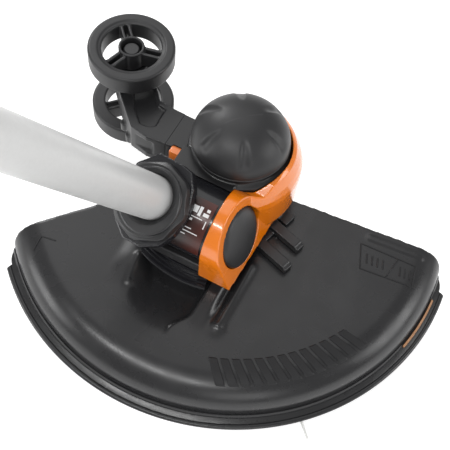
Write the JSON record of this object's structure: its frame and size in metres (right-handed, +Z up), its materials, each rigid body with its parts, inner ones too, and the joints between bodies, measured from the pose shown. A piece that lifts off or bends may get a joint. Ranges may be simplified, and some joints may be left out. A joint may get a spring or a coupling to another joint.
{
  "type": "lawn edger head",
  "caption": "String edger and trimmer head with domed motor housing, tilting neck on a lower shaft tube, fan-shaped guard, bump-feed line head and paired edging wheels.",
  "frame": {"origin": "on the motor's axis at the flat bottom of the bump knob that the head stands on", "axes": "+Z up along the motor's axis, the head tilts about X, the user stands on the -Y side, the edging wheels are on the -X side"},
  "size_m": [0.2941, 0.2712, 0.3411],
  "materials": {
    "shell": "satin dark-grey injection-moulded plastic",
    "cover": "glossy orange plastic",
    "guard": "satin black injection-moulded plastic with a fine grain",
    "wheel": "satin dark-grey plastic",
    "label": null,
    "tube": "satin silver-grey anodised tube",
    "steel": "machined or stamped steel",
    "rotor": "wound copper and laminations",
    "nylon": "clear natural nylon",
    "tab": "orange plastic"
  },
  "bodies": {
    "head": {"guard": "guard", "guard_screw_1": "steel", "guard_screw_2": "steel", "guard_screw_3": "steel", "guard_screw_4": "steel", "line_cutter": "steel", "cutter_screw_1": "steel", "cutter_screw_2": "steel", "motor_base": "shell", "motor_housing": "shell", "dome_cap": "shell", "orange_cover": "cover", "motor_can": "steel", "motor_magnets": "shell", "motor_end_plate": "steel", "bearing_lower": "steel", "bearing_upper": "steel", "pivot_pin": "steel", "arm_base": "shell", "arm_pin": "steel"},
    "neck": {"neck_housing": "shell", "rating_label": "label"},
    "lock_collar": {"lock_collar": "shell"},
    "shaft": {"shaft_tube": "tube", "tube_end_plug": "shell"},
    "tilt_button": {"tilt_button": "shell"},
    "spindle": {"motor_shaft": "steel", "rotor": "rotor", "line_drum": "shell", "line_eyelet": "steel", "spool": "nylon", "line_winding": "nylon", "spool_cap": "shell", "cutting_line": "nylon", "bump_spring": "steel"},
    "bump_knob": {"bump_knob": "cover"},
    "wheel_carrier": {"wheel_carrier": "shell", "wheel_axle": "steel", "axle_cap_upper": "shell", "axle_cap_lower": "shell"},
    "carrier_button": {"carrier_button": "tab"},
    "wheel_upper": {"wheel_upper": "wheel"},
    "wheel_lower": {"wheel_lower": "wheel"}
  },
  "joints": [
    {"name": "head_tilt", "type": "hinge", "parent": "head", "child": "neck", "pos_m": [0, -0.051, 0.078], "axis": [1, 0, 0], "range_deg": [-10, 40]},
    {"name": "shaft_turn", "type": "hinge", "parent": "neck", "child": "shaft", "pos_m": [-0.017, -0.051, 0.078], "axis": [-0.2409, -0.4849, 0.8408], "range_deg": [0, 180]},
    {"name": "collar_slide", "type": "slide", "parent": "neck", "child": "lock_collar", "axis": [-0.2409, -0.4849, 0.8408], "range_m": [0, 0.006], "stiffness_N_per_m": 600, "springref_m": -0.003},
    {"name": "tilt_button_press", "type": "slide", "parent": "head", "child": "tilt_button", "axis": [-1, 0, 0], "range_m": [0, 0.003], "stiffness_N_per_m": 1500, "springref_m": -0.001},
    {"name": "spindle_spin", "type": "hinge", "parent": "head", "child": "spindle", "pos_m": [0, 0, 0.03], "axis": [0, 0, 1], "continuous": true},
    {"name": "bump_feed", "type": "slide", "parent": "spindle", "child": "bump_knob", "axis": [0, 0, 1], "range_m": [0, 0.005], "stiffness_N_per_m": 2000, "springref_m": -0.015, "deforming": ["bump_spring"]},
    {"name": "carrier_turn", "type": "hinge", "parent": "head", "child": "wheel_carrier", "pos_m": [-0.047, -0.0025, 0.071], "axis": [1, 0, 0], "range_deg": [-90, 0]},
    {"name": "carrier_button_press", "type": "slide", "parent": "head", "child": "carrier_button", "axis": [1, 0, 0], "range_m": [0, 0.002], "stiffness_N_per_m": 800, "springref_m": -0.001},
    {"name": "wheel_upper_spin", "type": "hinge", "parent": "wheel_carrier", "child": "wheel_upper", "pos_m": [-0.099, 0.0305, 0.09], "axis": [0, 0, 1], "continuous": true},
    {"name": "wheel_lower_spin", "type": "hinge", "parent": "wheel_carrier", "child": "wheel_lower", "pos_m": [-0.099, 0.0305, 0.04], "axis": [0, 0, 1], "continuous": true}
  ]
}
